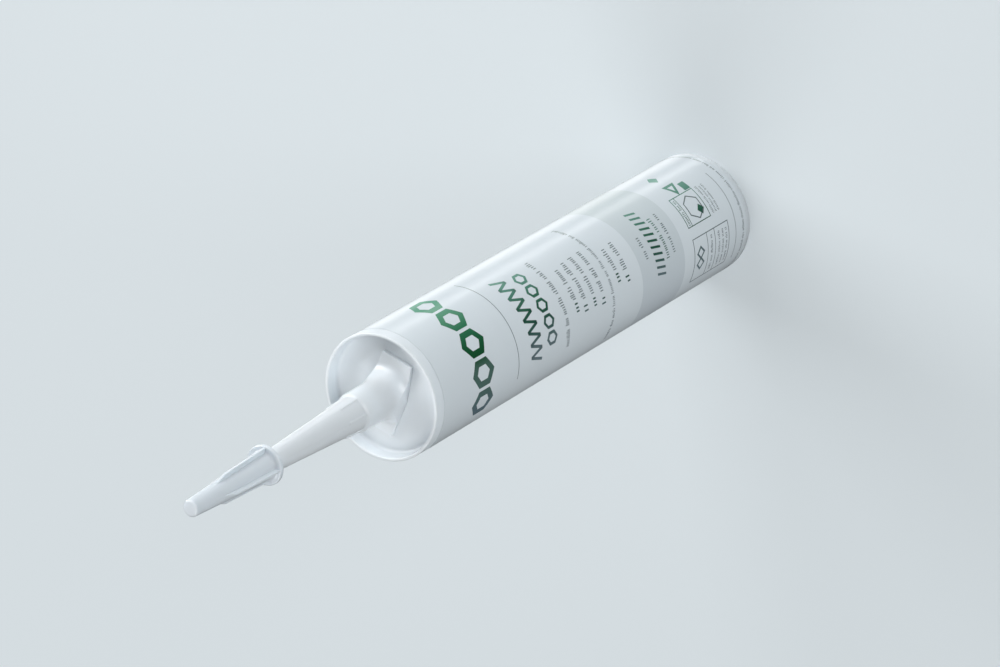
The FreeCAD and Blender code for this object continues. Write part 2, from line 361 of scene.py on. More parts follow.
def turned(corners: Sequence[Corner], steps: int) -> bmesh.types.BMesh:
    """Turn a closed profile about the Z axis into a closed solid.

    Args:
        corners: The profile's corners in order; a rounded corner gets an arc.
        steps: Segments round the full turn.

    Returns:
        The solid, in metres.
    """
    bm = bmesh.new()
    verts = [bm.verts.new((c.radius * MM, 0.0, c.height * MM)) for c in corners]
    for first, second in zip(verts, verts[1:] + verts[:1]):
        bm.edges.new((first, second))
    for corner, vert in zip(corners, verts):
        if corner.round:
            bmesh.ops.bevel(bm, geom=[vert], offset=corner.round * MM, offset_type="OFFSET",
                            segments=corner.segments, profile=0.5, affect="VERTICES",
                            material=-1, clamp_overlap=False)
    bmesh.ops.spin(bm, geom=bm.verts[:] + bm.edges[:], cent=(0.0, 0.0, 0.0),
                   axis=(0.0, 0.0, 1.0), dvec=(0.0, 0.0, 0.0), angle=FULL_TURN, steps=steps,
                   use_merge=True, use_duplicate=False)
    bmesh.ops.remove_doubles(bm, verts=bm.verts[:], dist=WELD)
    on_axis = [edge for edge in bm.edges if not edge.link_faces]
    bmesh.ops.delete(bm, geom=on_axis, context="EDGES")
    bmesh.ops.recalc_face_normals(bm, faces=bm.faces[:])
    return bm


def plate(corners: Sequence[tuple[float, float]], thickness: float,
          edge_round: float) -> bmesh.types.BMesh:
    """Make a flat plate on the XZ plane with softened edges.

    Args:
        corners: Outline as (x, z) in millimetres.
        thickness: Thickness along Y in millimetres.
        edge_round: Edge rounding in millimetres.

    Returns:
        The plate, in metres, centred on the plane.
    """
    bm = bmesh.new()
    face = bm.faces.new([bm.verts.new((x * MM, -thickness * MM / 2, z * MM)) for x, z in corners])
    grown = bmesh.ops.extrude_face_region(bm, geom=[face])
    moved = [item for item in grown["geom"] if isinstance(item, bmesh.types.BMVert)]
    bmesh.ops.translate(bm, verts=moved, vec=(0.0, thickness * MM, 0.0))
    bmesh.ops.bevel(bm, geom=bm.edges[:], offset=edge_round * MM, offset_type="OFFSET",
                    segments=2, profile=0.5, affect="EDGES", material=-1, clamp_overlap=True)
    bmesh.ops.recalc_face_normals(bm, faces=bm.faces[:])
    return bm


def in_a_ring(make_one: Callable[[], bmesh.types.BMesh], count: int) -> list[bmesh.types.BMesh]:
    """Make the same part several times, evenly spaced about the Z axis.

    Args:
        make_one: Makes the part on the XZ plane.
        count: Number of parts.

    Returns:
        The parts in order.
    """
    parts = []
    for index in range(count):
        part = make_one()
        turn = Matrix.Rotation(FULL_TURN * index / count, 4, "Z")
        bmesh.ops.transform(part, matrix=turn, verts=part.verts[:])
        parts.append(part)
    return parts


def put(parts: Iterable[bmesh.types.BMesh], height: float, turn_deg: float = 0.0) -> None:
    """Turn parts about the Z axis and lift them to their place.

    Args:
        parts: The parts, in metres.
        height: Lift in millimetres.
        turn_deg: Turn in degrees.
    """
    place = (Matrix.Translation((0.0, 0.0, height * MM))
             @ Matrix.Rotation(math.radians(turn_deg), 4, "Z"))
    for part in parts:
        bmesh.ops.transform(part, matrix=place, verts=part.verts[:])


def finished(name: str, bm: bmesh.types.BMesh,
             material: bpy.types.Material) -> bpy.types.Object:
    """Turn a bmesh into a smooth-shaded object with hard creases.

    Args:
        name: The piece's name.
        bm: Its mesh, which is freed.
        material: Its only material.

    Returns:
        The new object, linked to the scene.
    """
    mesh = bpy.data.meshes.new(name)
    bm.to_mesh(mesh)
    bm.free()
    mesh.materials.append(material)
    mesh.shade_smooth()
    mesh.set_sharp_from_angle(angle=math.radians(CREASE_DEG))
    piece = bpy.data.objects.new(name, mesh)
    bpy.context.scene.collection.objects.link(piece)
    return piece


def united(name: str, parts: Sequence[bmesh.types.BMesh],
           material: bpy.types.Material) -> bpy.types.Object:
    """Melt overlapping closed solids into one skin.

    Args:
        name: The piece's name.
        parts: Closed solids, the largest first; they are freed.
        material: The piece's only material.

    Returns:
        The new object, linked to the scene.
    """
    base = finished(name, parts[0], material)
    rest = [finished(f"{name}_part", part, material) for part in parts[1:]]
    for other in rest:
        union = base.modifiers.new("union", "BOOLEAN")
        union.operation = "UNION"
        union.solver = "EXACT"
        union.object = other
    bpy.context.view_layer.update()
    shape = bpy.data.meshes.new_from_object(
        base.evaluated_get(bpy.context.evaluated_depsgraph_get()))
    base.modifiers.clear()
    bm = bmesh.new()
    bm.from_mesh(shape)
    bmesh.ops.dissolve_degenerate(bm, edges=bm.edges[:], dist=SLIVER)
    bm.to_mesh(shape)
    bm.free()
    base.data = shape
    shape.name = name
    shape.set_sharp_from_angle(angle=math.radians(CREASE_DEG))
    for other in rest:
        bpy.data.objects.remove(other)
    return base


def report(piece: bpy.types.Object) -> None:
    """Log a piece's name and how large its mesh is."""
    piece.data.calc_loop_triangles()
    LOG.info("%s: %d triangles", piece.name, len(piece.data.loop_triangles))


# Pieces


@dataclass
class Tube:
    """The moulded tube with its sunk head, thin front rim and threaded neck."""

    radius: float = 24.5
    length: float = 215.0
    wall: float = 1.25
    mouth_chamfer: float = 0.4
    rear_round: float = 0.15
    rim_round: float = 0.45
    recess_depth: float = 5.7
    recess_round: float = 1.5
    head_wall: float = 2.0
    head_round: float = 1.0
    neck_radius: float = 5.9
    neck_root_round: float = 0.3
    neck_bore: float = 4.6
    neck_bore_round: float = 0.4
    neck_height: float = 13.7
    neck_chamfer: float = 0.5
    thread_start: float = 2.4
    thread_sunk: float = 0.2
    thread_depth: float = 0.66
    thread_foot: float = 1.6
    thread_crest: float = 0.5
    thread_pitch: float = 3.0
    thread_turns: float = 2.6
    thread_steps: int = 72
    steps: int = 256

    @property
    def seat(self) -> float:
        """Height of the recess floor that the nozzle sits on."""
        return self.length - self.recess_depth

    @property
    def head(self) -> float:
        """Height of the head's underside, which the paste stands against."""
        return self.seat - self.head_wall

    @property
    def neck_top(self) -> float:
        """Height of the neck's mouth."""
        return self.seat + self.neck_height

    @property
    def inside(self) -> float:
        """Radius of the bore."""
        return self.radius - self.wall

    def shell(self) -> bmesh.types.BMesh:
        """Turn the tube's wall, head and neck.

        Returns:
            The closed shell.
        """
        return turned([
            Corner(self.inside + self.mouth_chamfer, 0.0),
            Corner(self.radius, 0.0, self.rear_round, 2),
            Corner(self.radius, self.length, self.rim_round),
            Corner(self.inside, self.length, self.rim_round),
            Corner(self.inside, self.seat, self.recess_round, 8),
            Corner(self.neck_radius, self.seat, self.neck_root_round, 3),
            Corner(self.neck_radius, self.neck_top - self.neck_chamfer),
            Corner(self.neck_radius - self.neck_chamfer, self.neck_top),
            Corner(self.neck_bore, self.neck_top),
            Corner(self.neck_bore, self.head, self.neck_bore_round, 3),
            Corner(self.inside, self.head, self.head_round),
            Corner(self.inside, self.mouth_chamfer),
        ], self.steps)

    def thread(self) -> bmesh.types.BMesh:
        """Wind the neck's single thread as a turned ridge that climbs.

        Returns:
            The closed ridge.
        """
        bm = bmesh.new()
        middle = self.seat + self.thread_start
        inner, outer = self.neck_radius - self.thread_sunk, self.neck_radius + self.thread_depth
        foot, crest = self.thread_foot / 2, self.thread_crest / 2
        section = ((inner, -foot), (outer, -crest), (outer, crest), (inner, foot))
        face = bm.faces.new([bm.verts.new((r * MM, 0.0, (middle + z) * MM)) for r, z in section])
        steps = int(self.thread_steps * self.thread_turns)
        bmesh.ops.spin(bm, geom=bm.verts[:] + bm.edges[:] + [face], cent=(0.0, 0.0, 0.0),
                       axis=(0.0, 0.0, 1.0),
                       dvec=(0.0, 0.0, self.thread_pitch * self.thread_turns * MM / steps),
                       angle=FULL_TURN * self.thread_turns, steps=steps,
                       use_merge=False, use_duplicate=False)
        bmesh.ops.recalc_face_normals(bm, faces=bm.faces[:])
        return bm

    def make(self, material: bpy.types.Material) -> list[bpy.types.Object]:
        """Build the tube's pieces.

        Args:
            material: The moulded plastic.

        Returns:
            The shell and its thread.
        """
        shell = finished("tube_shell", self.shell(), material)
        thread = finished("neck_thread", self.thread(), material)
        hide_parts("barrel")
        for piece in (shell, thread):
            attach(piece, "barrel")
        return [shell, thread]


class Tint(Enum):
    """The inks of the label, by the piece that each one prints."""

    BOLD = "print_bold"
    MIDDLE = "print_middle"
    SMALL = "print_small"
    PANEL = "print_panel"


@dataclass(frozen=True)
class Figure:
    """A figure with straight sides: its place in degrees from the front, the rest in millimetres.

    A line of 0 fills it, and narrow is its width as a share of its natural width.
    """

    tint: Tint
    place: float
    middle: float
    radius: float
    line: float
    sides: int = NUT
    turn_deg: float = 0.0
    narrow: float = 1.0


@dataclass(frozen=True)
class Patch:
    """A bar or a box: its sides in degrees from the front, its edges and gaps in millimetres."""

    tint: Tint
    left: float
    right: float
    low: float
    high: float
    gap_left: float = 0.0
    gap_right: float = 0.0


@dataclass(frozen=True)
class Bead(Patch):
    """A patch that a zigzag bead of paste fills, with the distance from crest to crest."""

    pitch: float = 4.8
    line: float = 1.25


@dataclass(frozen=True)
class Row:
    """A row of small print: its ends in degrees from the front, the rest in millimetres."""

    left: float
    right: float
    low: float
    high: float
    stroke: float = 0.36
    tint: Tint = Tint.SMALL


@dataclass
class Artwork:
    """Flat generic print, drawn in millimetres and then wrapped round the tube."""

    radius: float
    # Heights and spaces are shares of the row's height, and pitches are in widths of a stroke.
    stroke_heights: tuple[float, ...] = (0.68, 0.72, 0.72, 1.0)
    strokes_in_a_word: tuple[int, int] = (4, 11)
    stroke_pitch: tuple[float, float] = (1.9, 3.1)
    word_space: float = 0.45
    sheets: dict[Tint, bmesh.types.BMesh] = field(
        default_factory=lambda: {tint: bmesh.new() for tint in Tint})
    chance: random.Random = field(default_factory=lambda: random.Random(7))

    def along(self, degrees: float) -> float:
        """Distance round the tube from the front, in millimetres, for an angle."""
        return math.radians(degrees) * self.radius

    def bar(self, tint: Tint, left: float, right: float, low: float, high: float,
            slant: float = 0.0) -> None:
        """Print a filled bar.

        Args:
            tint: The ink.
            left: Left end in millimetres round the tube.
            right: Right end.
            low: Lower edge's height.
            high: Upper edge's height.
            slant: How far the upper edge leans to the right.
        """
        bm = self.sheets[tint]
        size = Matrix.Diagonal((right - left, high - low, 1.0, 1.0))
        place = Matrix.Translation(((left + right) / 2, (low + high) / 2, 0.0))
        made = bmesh.ops.create_grid(bm, x_segments=1, y_segments=1, size=0.5,
                                     matrix=place @ size)
        top = [v for v in made["verts"] if v.co.y > (low + high) / 2]
        bmesh.ops.translate(bm, verts=top, vec=(slant, 0.0, 0.0))

    def patch(self, patch: Patch) -> None:
        """Print a filled patch."""
        self.bar(patch.tint, self.along(patch.left) + patch.gap_left,
                 self.along(patch.right) - patch.gap_right, patch.low, patch.high)

    def ring(self, figure: Figure) -> None:
        """Print a figure as a ring with straight sides, or filled when it has no line.

        Args:
            figure: The figure.
        """
        bm = self.sheets[figure.tint]
        place = (Matrix.Translation((self.along(figure.place), figure.middle, 0.0))
                 @ Matrix.Diagonal((figure.narrow, 1.0, 1.0, 1.0))
                 @ Matrix.Rotation(math.radians(figure.turn_deg), 4, "Z"))
        made = bmesh.ops.create_circle(bm, cap_ends=True, segments=figure.sides,
                                       radius=figure.radius, matrix=place)
        if not figure.line:
            return
        faces = list({face for vert in made["verts"] for face in vert.link_faces})
        bmesh.ops.inset_individual(bm, faces=faces, thickness=figure.line, depth=0.0,
                                   use_even_offset=True)
        bmesh.ops.delete(bm, geom=faces, context="FACES_ONLY")

    def box(self, box: Patch, line: float) -> None:
        """Print the outline of a box.

        Args:
            box: The box.
            line: Width of the line.
        """
        left, right = self.along(box.left), self.along(box.right)
        inner_low, inner_high = box.low + line, box.high - line
        self.bar(box.tint, left, right, inner_high, box.high)
        self.bar(box.tint, left, right, box.low, inner_low)
        self.bar(box.tint, left, left + line, inner_low, inner_high)
        self.bar(box.tint, right - line, right, inner_low, inner_high)

    def bead(self, bead: Bead) -> None:
        """Print a bead of paste as a zigzag line with flat crests.

        Args:
            bead: The bead.
        """
        bm = self.sheets[bead.tint]
        left, right = self.along(bead.left), self.along(bead.right)
        turns = int((right - bead.line - left) / (bead.pitch / 2)) + 1
        verts = [bm.verts.new((left + bead.pitch / 2 * turn, bead.high if turn % 2 else bead.low,
                               0.0)) for turn in range(turns)]
        edges = [bm.edges.new(pair) for pair in zip(verts, verts[1:])]
        grown = bmesh.ops.extrude_edge_only(bm, edges=edges)
        moved = [item for item in grown["geom"] if isinstance(item, bmesh.types.BMVert)]
        bmesh.ops.translate(bm, verts=moved, vec=(bead.line, 0.0, 0.0))

    def row(self, row: Row) -> None:
        """Print a row of small print."""
        self.script(row.tint, self.along(row.left), self.along(row.right), row.low, row.high,
                    row.stroke)

    def script(self, tint: Tint, left: float, right: float, low: float, high: float,
               stroke: float) -> None:
        """Print a row of short upright strokes that stands for small print.

        Args:
            tint: The ink.
            left: Left end.
            right: Right end.
            low: Base line's height.
            high: Top of the tallest strokes.
            stroke: Width of a stroke.
        """
        position = left
        tall = high - low
        while position < right:
            for _ in range(self.chance.randint(*self.strokes_in_a_word)):
                if position + stroke > right:
                    return
                top = low + tall * self.chance.choice(self.stroke_heights)
                self.bar(tint, position, position + stroke, low, top)
                position += stroke * self.chance.uniform(*self.stroke_pitch)
            position += tall * self.word_space

    def wrap(self, tint: Tint, inner: float, thickness: float,
             longest: float = 0.62) -> bmesh.types.BMesh:
        """Bend a sheet round the tube and give it thickness.

        Args:
            tint: The ink whose sheet is wrapped.
            inner: Radius of the print's underside.
            thickness: Thickness of the ink.
            longest: Longest straight step round the tube.

        Returns:
            The wrapped print as a closed skin, in metres.
        """
        bm = self.sheets[tint]
        reach = math.pi * self.radius
        for step in range(1, int(2 * reach / longest)):
            bmesh.ops.bisect_plane(bm, geom=bm.verts[:] + bm.edges[:] + bm.faces[:],
                                   dist=ON_CUT / MM, plane_co=(step * longest - reach, 0.0, 0.0),
                                   plane_no=(1.0, 0.0, 0.0))
        for face in bm.faces:
            if face.normal.z < 0.0:
                face.normal_flip()
        grown = bmesh.ops.extrude_face_region(bm, geom=bm.faces[:])
        moved = [item for item in grown["geom"] if isinstance(item, bmesh.types.BMVert)]
        bmesh.ops.translate(bm, verts=moved, vec=(0.0, 0.0, thickness))
        for vert in bm.verts:
            angle = vert.co.x / self.radius
            out = (inner + vert.co.z) * MM
            vert.co = Vector((math.sin(angle) * out, -math.cos(angle) * out, vert.co.y * MM))
        bmesh.ops.recalc_face_normals(bm, faces=bm.faces[:])
        return bm


@dataclass(frozen=True)
class Layout:
    """Where the generic print stands: places in degrees from the front, the rest in millimetres."""

    bold_places: tuple[float, ...] = (-54.0, -26.7, 0.5, 27.8, 55.0)
    bold_nut: Figure = Figure(Tint.BOLD, 0.0, 184.7, 6.8, 2.5, narrow=0.88)
    small_places: tuple[float, ...] = (-31.5, -16.5, -1.5, 13.5, 28.5)
    small_nut: Figure = Figure(Tint.MIDDLE, 0.0, 140.2, 3.5, 1.15, narrow=0.88)
    figures: tuple[Figure, ...] = (
        Figure(Tint.SMALL, 6.5, 31.2, 5.4, 0.5, NUT, 30.0),
        Figure(Tint.MIDDLE, 1.5, 28.3, 2.2, 0.0, DIAMOND),
        Figure(Tint.MIDDLE, 32.0, 33.0, 4.4, 1.2, TRIANGLE, 90.0),
        Figure(Tint.MIDDLE, 51.5, 33.6, 2.6, 0.0, DIAMOND),
        Figure(Tint.MIDDLE, -45.5, 36.3, 2.9, 0.8, DIAMOND),
        Figure(Tint.MIDDLE, -35.0, 36.3, 2.9, 0.8, DIAMOND),
        Figure(Tint.SMALL, 144.0, 28.5, 4.2, 0.7),
        Figure(Tint.SMALL, 164.0, 28.5, 4.2, 0.7),
    )
    beads: tuple[Bead, ...] = (
        Bead(Tint.MIDDLE, -46.5, 44.5, 147.0, 154.2),
        Bead(Tint.MIDDLE, -174.0, -134.0, 108.0, 113.0, pitch=4.4, line=1.1),
    )
    boxes: tuple[Patch, ...] = (
        Patch(Tint.MIDDLE, -9.0, 22.5, 24.6, 41.0),
        Patch(Tint.SMALL, -62.5, -19.5, 15.5, 41.0),
        Patch(Tint.SMALL, 134.0, 174.0, 16.0, 41.0),
    )
    box_line: float = 0.35
    # The grey panel, two rules across the front, the rules in the boxes and one filled bar.
    bars: tuple[Patch, ...] = (
        Patch(Tint.PANEL, -179.4, 179.4, 48.0, 78.0),
        Patch(Tint.SMALL, -52.0, 62.0, 162.3, 162.6),
        Patch(Tint.SMALL, -62.0, 28.0, 10.4, 10.65),
        Patch(Tint.MIDDLE, -9.0, 22.5, 37.8, 38.1, 0.35, 0.35),
        Patch(Tint.SMALL, -62.5, -19.5, 31.0, 31.3, 0.35, 0.35),
        Patch(Tint.SMALL, -62.5, -19.5, 25.5, 25.8, 0.35, 0.35),
        Patch(Tint.MIDDLE, 22.5, 33.0, 24.6, 28.4, 0.3),
    )
    ticks: Patch = Patch(Tint.MIDDLE, -35.5, 32.5, 61.6, 67.4)
    tick_width: float = 1.0
    tick_pitch: float = 2.7
    tick_slant: float = 1.2
    heading: Row = Row(-49.0, 42.0, 128.6, 131.0)
    marked_rows: tuple[Row, ...] = (
        Row(-23.0, 19.5, 120.8, 123.5),
        Row(-26.5, 23.5, 115.2, 117.9),
        Row(-26.5, 22.5, 109.4, 112.1),
        Row(-29.0, 25.5, 103.6, 106.3),
        Row(-18.5, 14.5, 91.6, 94.3),
        Row(-22.5, 18.5, 85.7, 88.4),
    )
    mark_width: float = 3.9
    mark_height: float = 2.5
    mark_gap: float = 1.0
    mark_stroke: float = 0.62
    rows: tuple[Row, ...] = (
        Row(-72.0, 62.5, 97.6, 99.4, 0.26),
        Row(-13.5, 10.5, 71.0, 73.2),
        Row(-22.5, 17.5, 57.8, 60.0, tint=Tint.MIDDLE),
        Row(-20.5, 19.5, 53.4, 55.3),
        Row(-7.0, 20.5, 38.7, 40.2, 0.24, Tint.MIDDLE),
        Row(-7.5, 21.5, 21.8, 22.9, 0.22),
        Row(-7.5, 21.5, 19.9, 21.0, 0.22),
        Row(-7.5, 21.5, 18.0, 19.1, 0.22),
        Row(-58.0, -24.0, 27.7, 29.1, 0.24),
        Row(-58.0, -24.0, 22.3, 23.7, 0.24),
        Row(-58.0, -24.0, 19.6, 21.0, 0.24),
        Row(-58.0, -24.0, 17.0, 18.4, 0.24),
        Row(-178.0, 178.0, 4.5, 5.9, 0.26),
    )
    # Each column at the back is given by its first row, and some of its rows are short.
    columns: tuple[Row, ...] = (
        Row(88.0, 126.0, 190.0, 191.9, 0.3),
        Row(134.0, 174.0, 190.0, 191.9, 0.3),
        Row(-174.0, -134.0, 190.0, 191.9, 0.3),
        Row(-126.0, -88.0, 190.0, 191.9, 0.3),
    )
    column_rows: tuple[int, ...] = (18, 18, 12, 18)
    column_pitch: float = 5.2
    short_every: int = 5
    short_share: float = 0.55
    blocks: tuple[Row, ...] = (
        Row(-174.0, -134.0, 36.0, 37.8, 0.3),
        Row(-126.0, -88.0, 36.0, 37.8, 0.3),
        Row(88.0, 126.0, 36.0, 37.8, 0.3),
    )
    block_rows: int = 4
    block_pitch: float = 5.0

    def print_shapes(self, art: Artwork) -> None:
        """Print the nuts, figures, beads, boxes, bars and the scale of slanted ticks.

        Args:
            art: The artwork that is printed on.
        """
        nuts = [replace(self.bold_nut, place=place) for place in self.bold_places]
        nuts += [replace(self.small_nut, place=place) for place in self.small_places]
        for figure in (*nuts, *self.figures):
            art.ring(figure)
        for bead in self.beads:
            art.bead(bead)
        for box in self.boxes:
            art.box(box, self.box_line)
        for bar in self.bars:
            art.patch(bar)
        position = art.along(self.ticks.left)
        while position < art.along(self.ticks.right):
            art.bar(self.ticks.tint, position, position + self.tick_width, self.ticks.low,
                    self.ticks.high, self.tick_slant)
            position += self.tick_pitch

    def print_rows(self, art: Artwork) -> None:
        """Print the rows of small print, each marked row with its thicker mark before it.

        Args:
            art: The artwork that is printed on.
        """
        art.row(self.heading)
        for row in self.marked_rows:
            left = art.along(row.left)
            mark_end = left + self.mark_width
            art.script(Tint.MIDDLE, left, mark_end, row.low, row.low + self.mark_height,
                       self.mark_stroke)
            art.script(row.tint, mark_end + self.mark_gap, art.along(row.right), row.low,
                       row.high, row.stroke)
        for row in self.rows:
            art.row(row)

    def print_back(self, art: Artwork) -> None:
        """Print the columns and the lower blocks on the side away from the front.

        Args:
            art: The artwork that is printed on.
        """
        for first, count in zip(self.columns, self.column_rows):
            for index in range(count):
                down = self.column_pitch * index
                short = index % self.short_every == self.short_every - 1
                share = self.short_share if short else 1.0
                art.row(replace(first, right=first.left + (first.right - first.left) * share,
                                low=first.low - down, high=first.high - down))
        for first in self.blocks:
            for index in range(self.block_rows):
                down = self.block_pitch * index
                art.row(replace(first, low=first.low - down, high=first.high - down))


@dataclass
class Label:
    """The film round the tube and the generic print on it."""

    tube: Tube
    glue: float = 0.03
    thickness: float = 0.07
    rear: float = 2.6
    front: float = 210.2
    seam_deg: float = 0.8
    ink: float = 0.018
    ink_lift: float = 0.004
    panel_ink: float = 0.009
    panel_lift: float = 0.001
    layout: Layout = Layout()
    steps: int = 254

    @property
    def inner(self) -> float:
        """Radius of the film's glued side."""
        return self.tube.radius + self.glue

    @property
    def outer(self) -> float:
        """Radius of the film's printed side."""
        return self.inner + self.thickness

    def film(self) -> bmesh.types.BMesh:
        """Turn the film from one side of its seam to the other.

        Returns:
            The closed film, with the seam at the back.
        """
        bm = bmesh.new()
        corners = ((self.inner, self.rear), (self.outer, self.rear),
                   (self.outer, self.front), (self.inner, self.front))
        face = bm.faces.new([bm.verts.new((0.0, r * MM, z * MM)) for r, z in corners])
        start = Matrix.Rotation(math.radians(self.seam_deg / 2), 3, "Z")
        bmesh.ops.rotate(bm, cent=(0.0, 0.0, 0.0), matrix=start, verts=bm.verts[:])
        bmesh.ops.spin(bm, geom=bm.verts[:] + bm.edges[:] + [face], cent=(0.0, 0.0, 0.0),
                       axis=(0.0, 0.0, 1.0), dvec=(0.0, 0.0, 0.0),
                       angle=math.radians(360.0 - self.seam_deg), steps=self.steps,
                       use_merge=False, use_duplicate=False)
        bmesh.ops.recalc_face_normals(bm, faces=bm.faces[:])
        return bm

    def print_on(self, tint: Tint, art: Artwork) -> bmesh.types.BMesh:
        """Wrap one ink's print round the film.

        Args:
            tint: The ink; the panel's is the thinnest and lies under the others.
            art: The printed artwork.

        Returns:
            The print as a closed skin.
        """
        if tint is Tint.PANEL:
            return art.wrap(tint, self.outer + self.panel_lift, self.panel_ink)
        return art.wrap(tint, self.outer + self.ink_lift, self.ink)

    def make(self, film: bpy.types.Material,
             inks: dict[Tint, bpy.types.Material]) -> list[bpy.types.Object]:
        """Build the film and its print.

        Args:
            film: The film's material.
            inks: The material of each ink.

        Returns:
            The film and one piece for each ink.
        """
        sheet = finished("label_film", self.film(), film)
        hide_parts("label")
        art = Artwork(self.outer)
        self.layout.print_shapes(art)
        self.layout.print_rows(art)
        self.layout.print_back(art)
        pieces = [sheet]
        for tint, ink in inks.items():
            pieces.append(finished(tint.value, self.print_on(tint, art), ink))
        for piece in pieces:
            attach(piece, "barrel")
        return pieces


@dataclass
class Piston:
    """The moulded cup that pushes the paste, with sealing lips and ribs under its crown."""

    tube: Tube
    rear_gap: float = 3.7
    height: float = 21.0
    clearance: float = 0.08
    lip: float = 2.6
    lip_round: float = 0.3
    relief: float = 0.35
    wall: float = 1.7
    rear_round: float = 0.25
    cup_round: float = 0.8
    edge: float = 1.8
    crown: float = 1.8
    crown_round: float = 0.4
    dish_radius: float = 9.0
    dish_depth: float = 1.2
    dish_slope: float = 1.6
    dish_round: float = 0.3
    rib_thickness: float = 1.2
    rib_height: float = 4.5
    rib_round: float = 0.2
    rib_count: int = 6
    steps: int = 192

    @property
    def lip_radius(self) -> float:
        """Radius of the sealing lips."""
        return self.tube.inside - self.clearance

    def cup(self) -> bmesh.types.BMesh:
        """Turn the cup.

        Returns:
            The closed cup.
        """
        skirt = self.lip_radius - self.relief
        cup = skirt - self.wall
        under = self.height - self.crown
        dish = self.dish_radius + self.dish_slope
        low, high = self.lip, self.height - self.edge - self.lip
        return turned([
            Corner(0.0, under - self.dish_depth),
            Corner(self.dish_radius, under - self.dish_depth, self.dish_round, 2),
            Corner(dish, under, self.dish_round, 2),
            Corner(cup, under, self.cup_round, 4),
            Corner(cup, 0.0, self.rear_round, 3),
            Corner(self.lip_radius, 0.0, self.lip_round, 3),
            Corner(self.lip_radius, low),
            Corner(skirt, low + self.relief),
            Corner(skirt, high - self.relief),
            Corner(self.lip_radius, high),
            Corner(self.lip_radius, self.height - self.edge, self.lip_round, 3),
            Corner(self.lip_radius - self.edge, self.height, self.crown_round, 3),
            Corner(dish, self.height, self.crown_round, 3),
            Corner(self.dish_radius, self.height - self.dish_depth, self.dish_round, 2),
            Corner(0.0, self.height - self.dish_depth),
        ], self.steps)

    def rib(self) -> bmesh.types.BMesh:
        """Make one rib under the crown.

        Returns:
            The closed rib on the XZ plane.
        """
        under = self.height - self.crown
        out = self.lip_radius - self.relief - self.wall / 2
        return plate([(self.dish_radius, under - self.rib_height),
                      (out, under - self.rib_height),
                      (out, under + self.crown / 2),
                      (self.dish_radius + self.dish_slope, under + self.crown / 2),
                      (self.dish_radius, under - self.dish_depth / 2)],
                     self.rib_thickness, self.rib_round)

    def make(self, material: bpy.types.Material) -> list[bpy.types.Object]:
        """Build the piston.

        Args:
            material: The moulded plastic.

        Returns:
            The piston alone.
        """
        parts = [self.cup(), *in_a_ring(self.rib, self.rib_count)]
        put(parts, self.rear_gap)
        piece = united("piston_cup", parts, material)
        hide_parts("piston")
        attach(piece, "piston")
        return [piece]


@dataclass
class Paste:
    """The sealant that fills the tube from the piston's crown to the neck."""

    tube: Tube
    piston: Piston
    clearance: float = 0.05
    crown_gap: float = 0.3
    left_over: float = 0.25
    rear_round: float = 0.5
    front_round: float = 1.2
    neck_overlap: float = 0.3
    neck_short: float = 0.6
    neck_round: float = 0.6
    steps: int = 128
    neck_steps: int = 64

    @property
    def rear(self) -> float:
        """Height of the fill's rear face, just off the piston's crown."""
        return self.piston.rear_gap + self.piston.height + self.crown_gap

    @property
    def front(self) -> float:
        """Height of the fill's front face, just off the head."""
        return self.tube.head - self.clearance

    def fill(self) -> bmesh.types.BMesh:
        """Turn the paste between the piston and the head.

        Returns:
            The closed fill, with a boss where the piston's crown is dished.
        """
        radius = self.tube.inside - self.clearance
        boss = self.piston.dish_radius
        boss_end = self.rear - self.piston.dish_depth
        boss_round = self.piston.dish_round
        return turned([
            Corner(0.0, boss_end),
            Corner(boss, boss_end, boss_round, 2),
            Corner(boss + self.piston.dish_slope, self.rear, boss_round, 2),
            Corner(radius, self.rear, self.rear_round, 3),
            Corner(radius, self.front, self.front_round, 4),
            Corner(0.0, self.front),
        ], self.steps)

    def neck(self) -> bmesh.types.BMesh:
        """Turn the paste that stays in the neck's bore.

        Returns:
            The closed stub, cut just short of the neck's mouth.
        """
        radius = self.tube.neck_bore - self.clearance
        bottom = self.front - self.neck_overlap
        top = self.tube.neck_top - self.neck_short
        return turned([
            Corner(0.0, bottom),
            Corner(radius, bottom),
            Corner(radius, top, self.neck_round, 4),
            Corner(0.0, top),
        ], self.neck_steps)

    def make(self, material: bpy.types.Material) -> list[bpy.types.Object]:
        """Build the fill between the piston's crown and the head, and the neck's paste.

        Args:
            material: The paste.

        Returns:
            The fill and the stub in the neck.
        """
        fill = finished("sealant_fill", self.fill(), material)
        neck = finished("sealant_neck", self.neck(), material)
        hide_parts("sealant")
        for piece in (fill, neck):
            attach(piece, "barrel")
        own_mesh(fill)
        return [fill, neck]


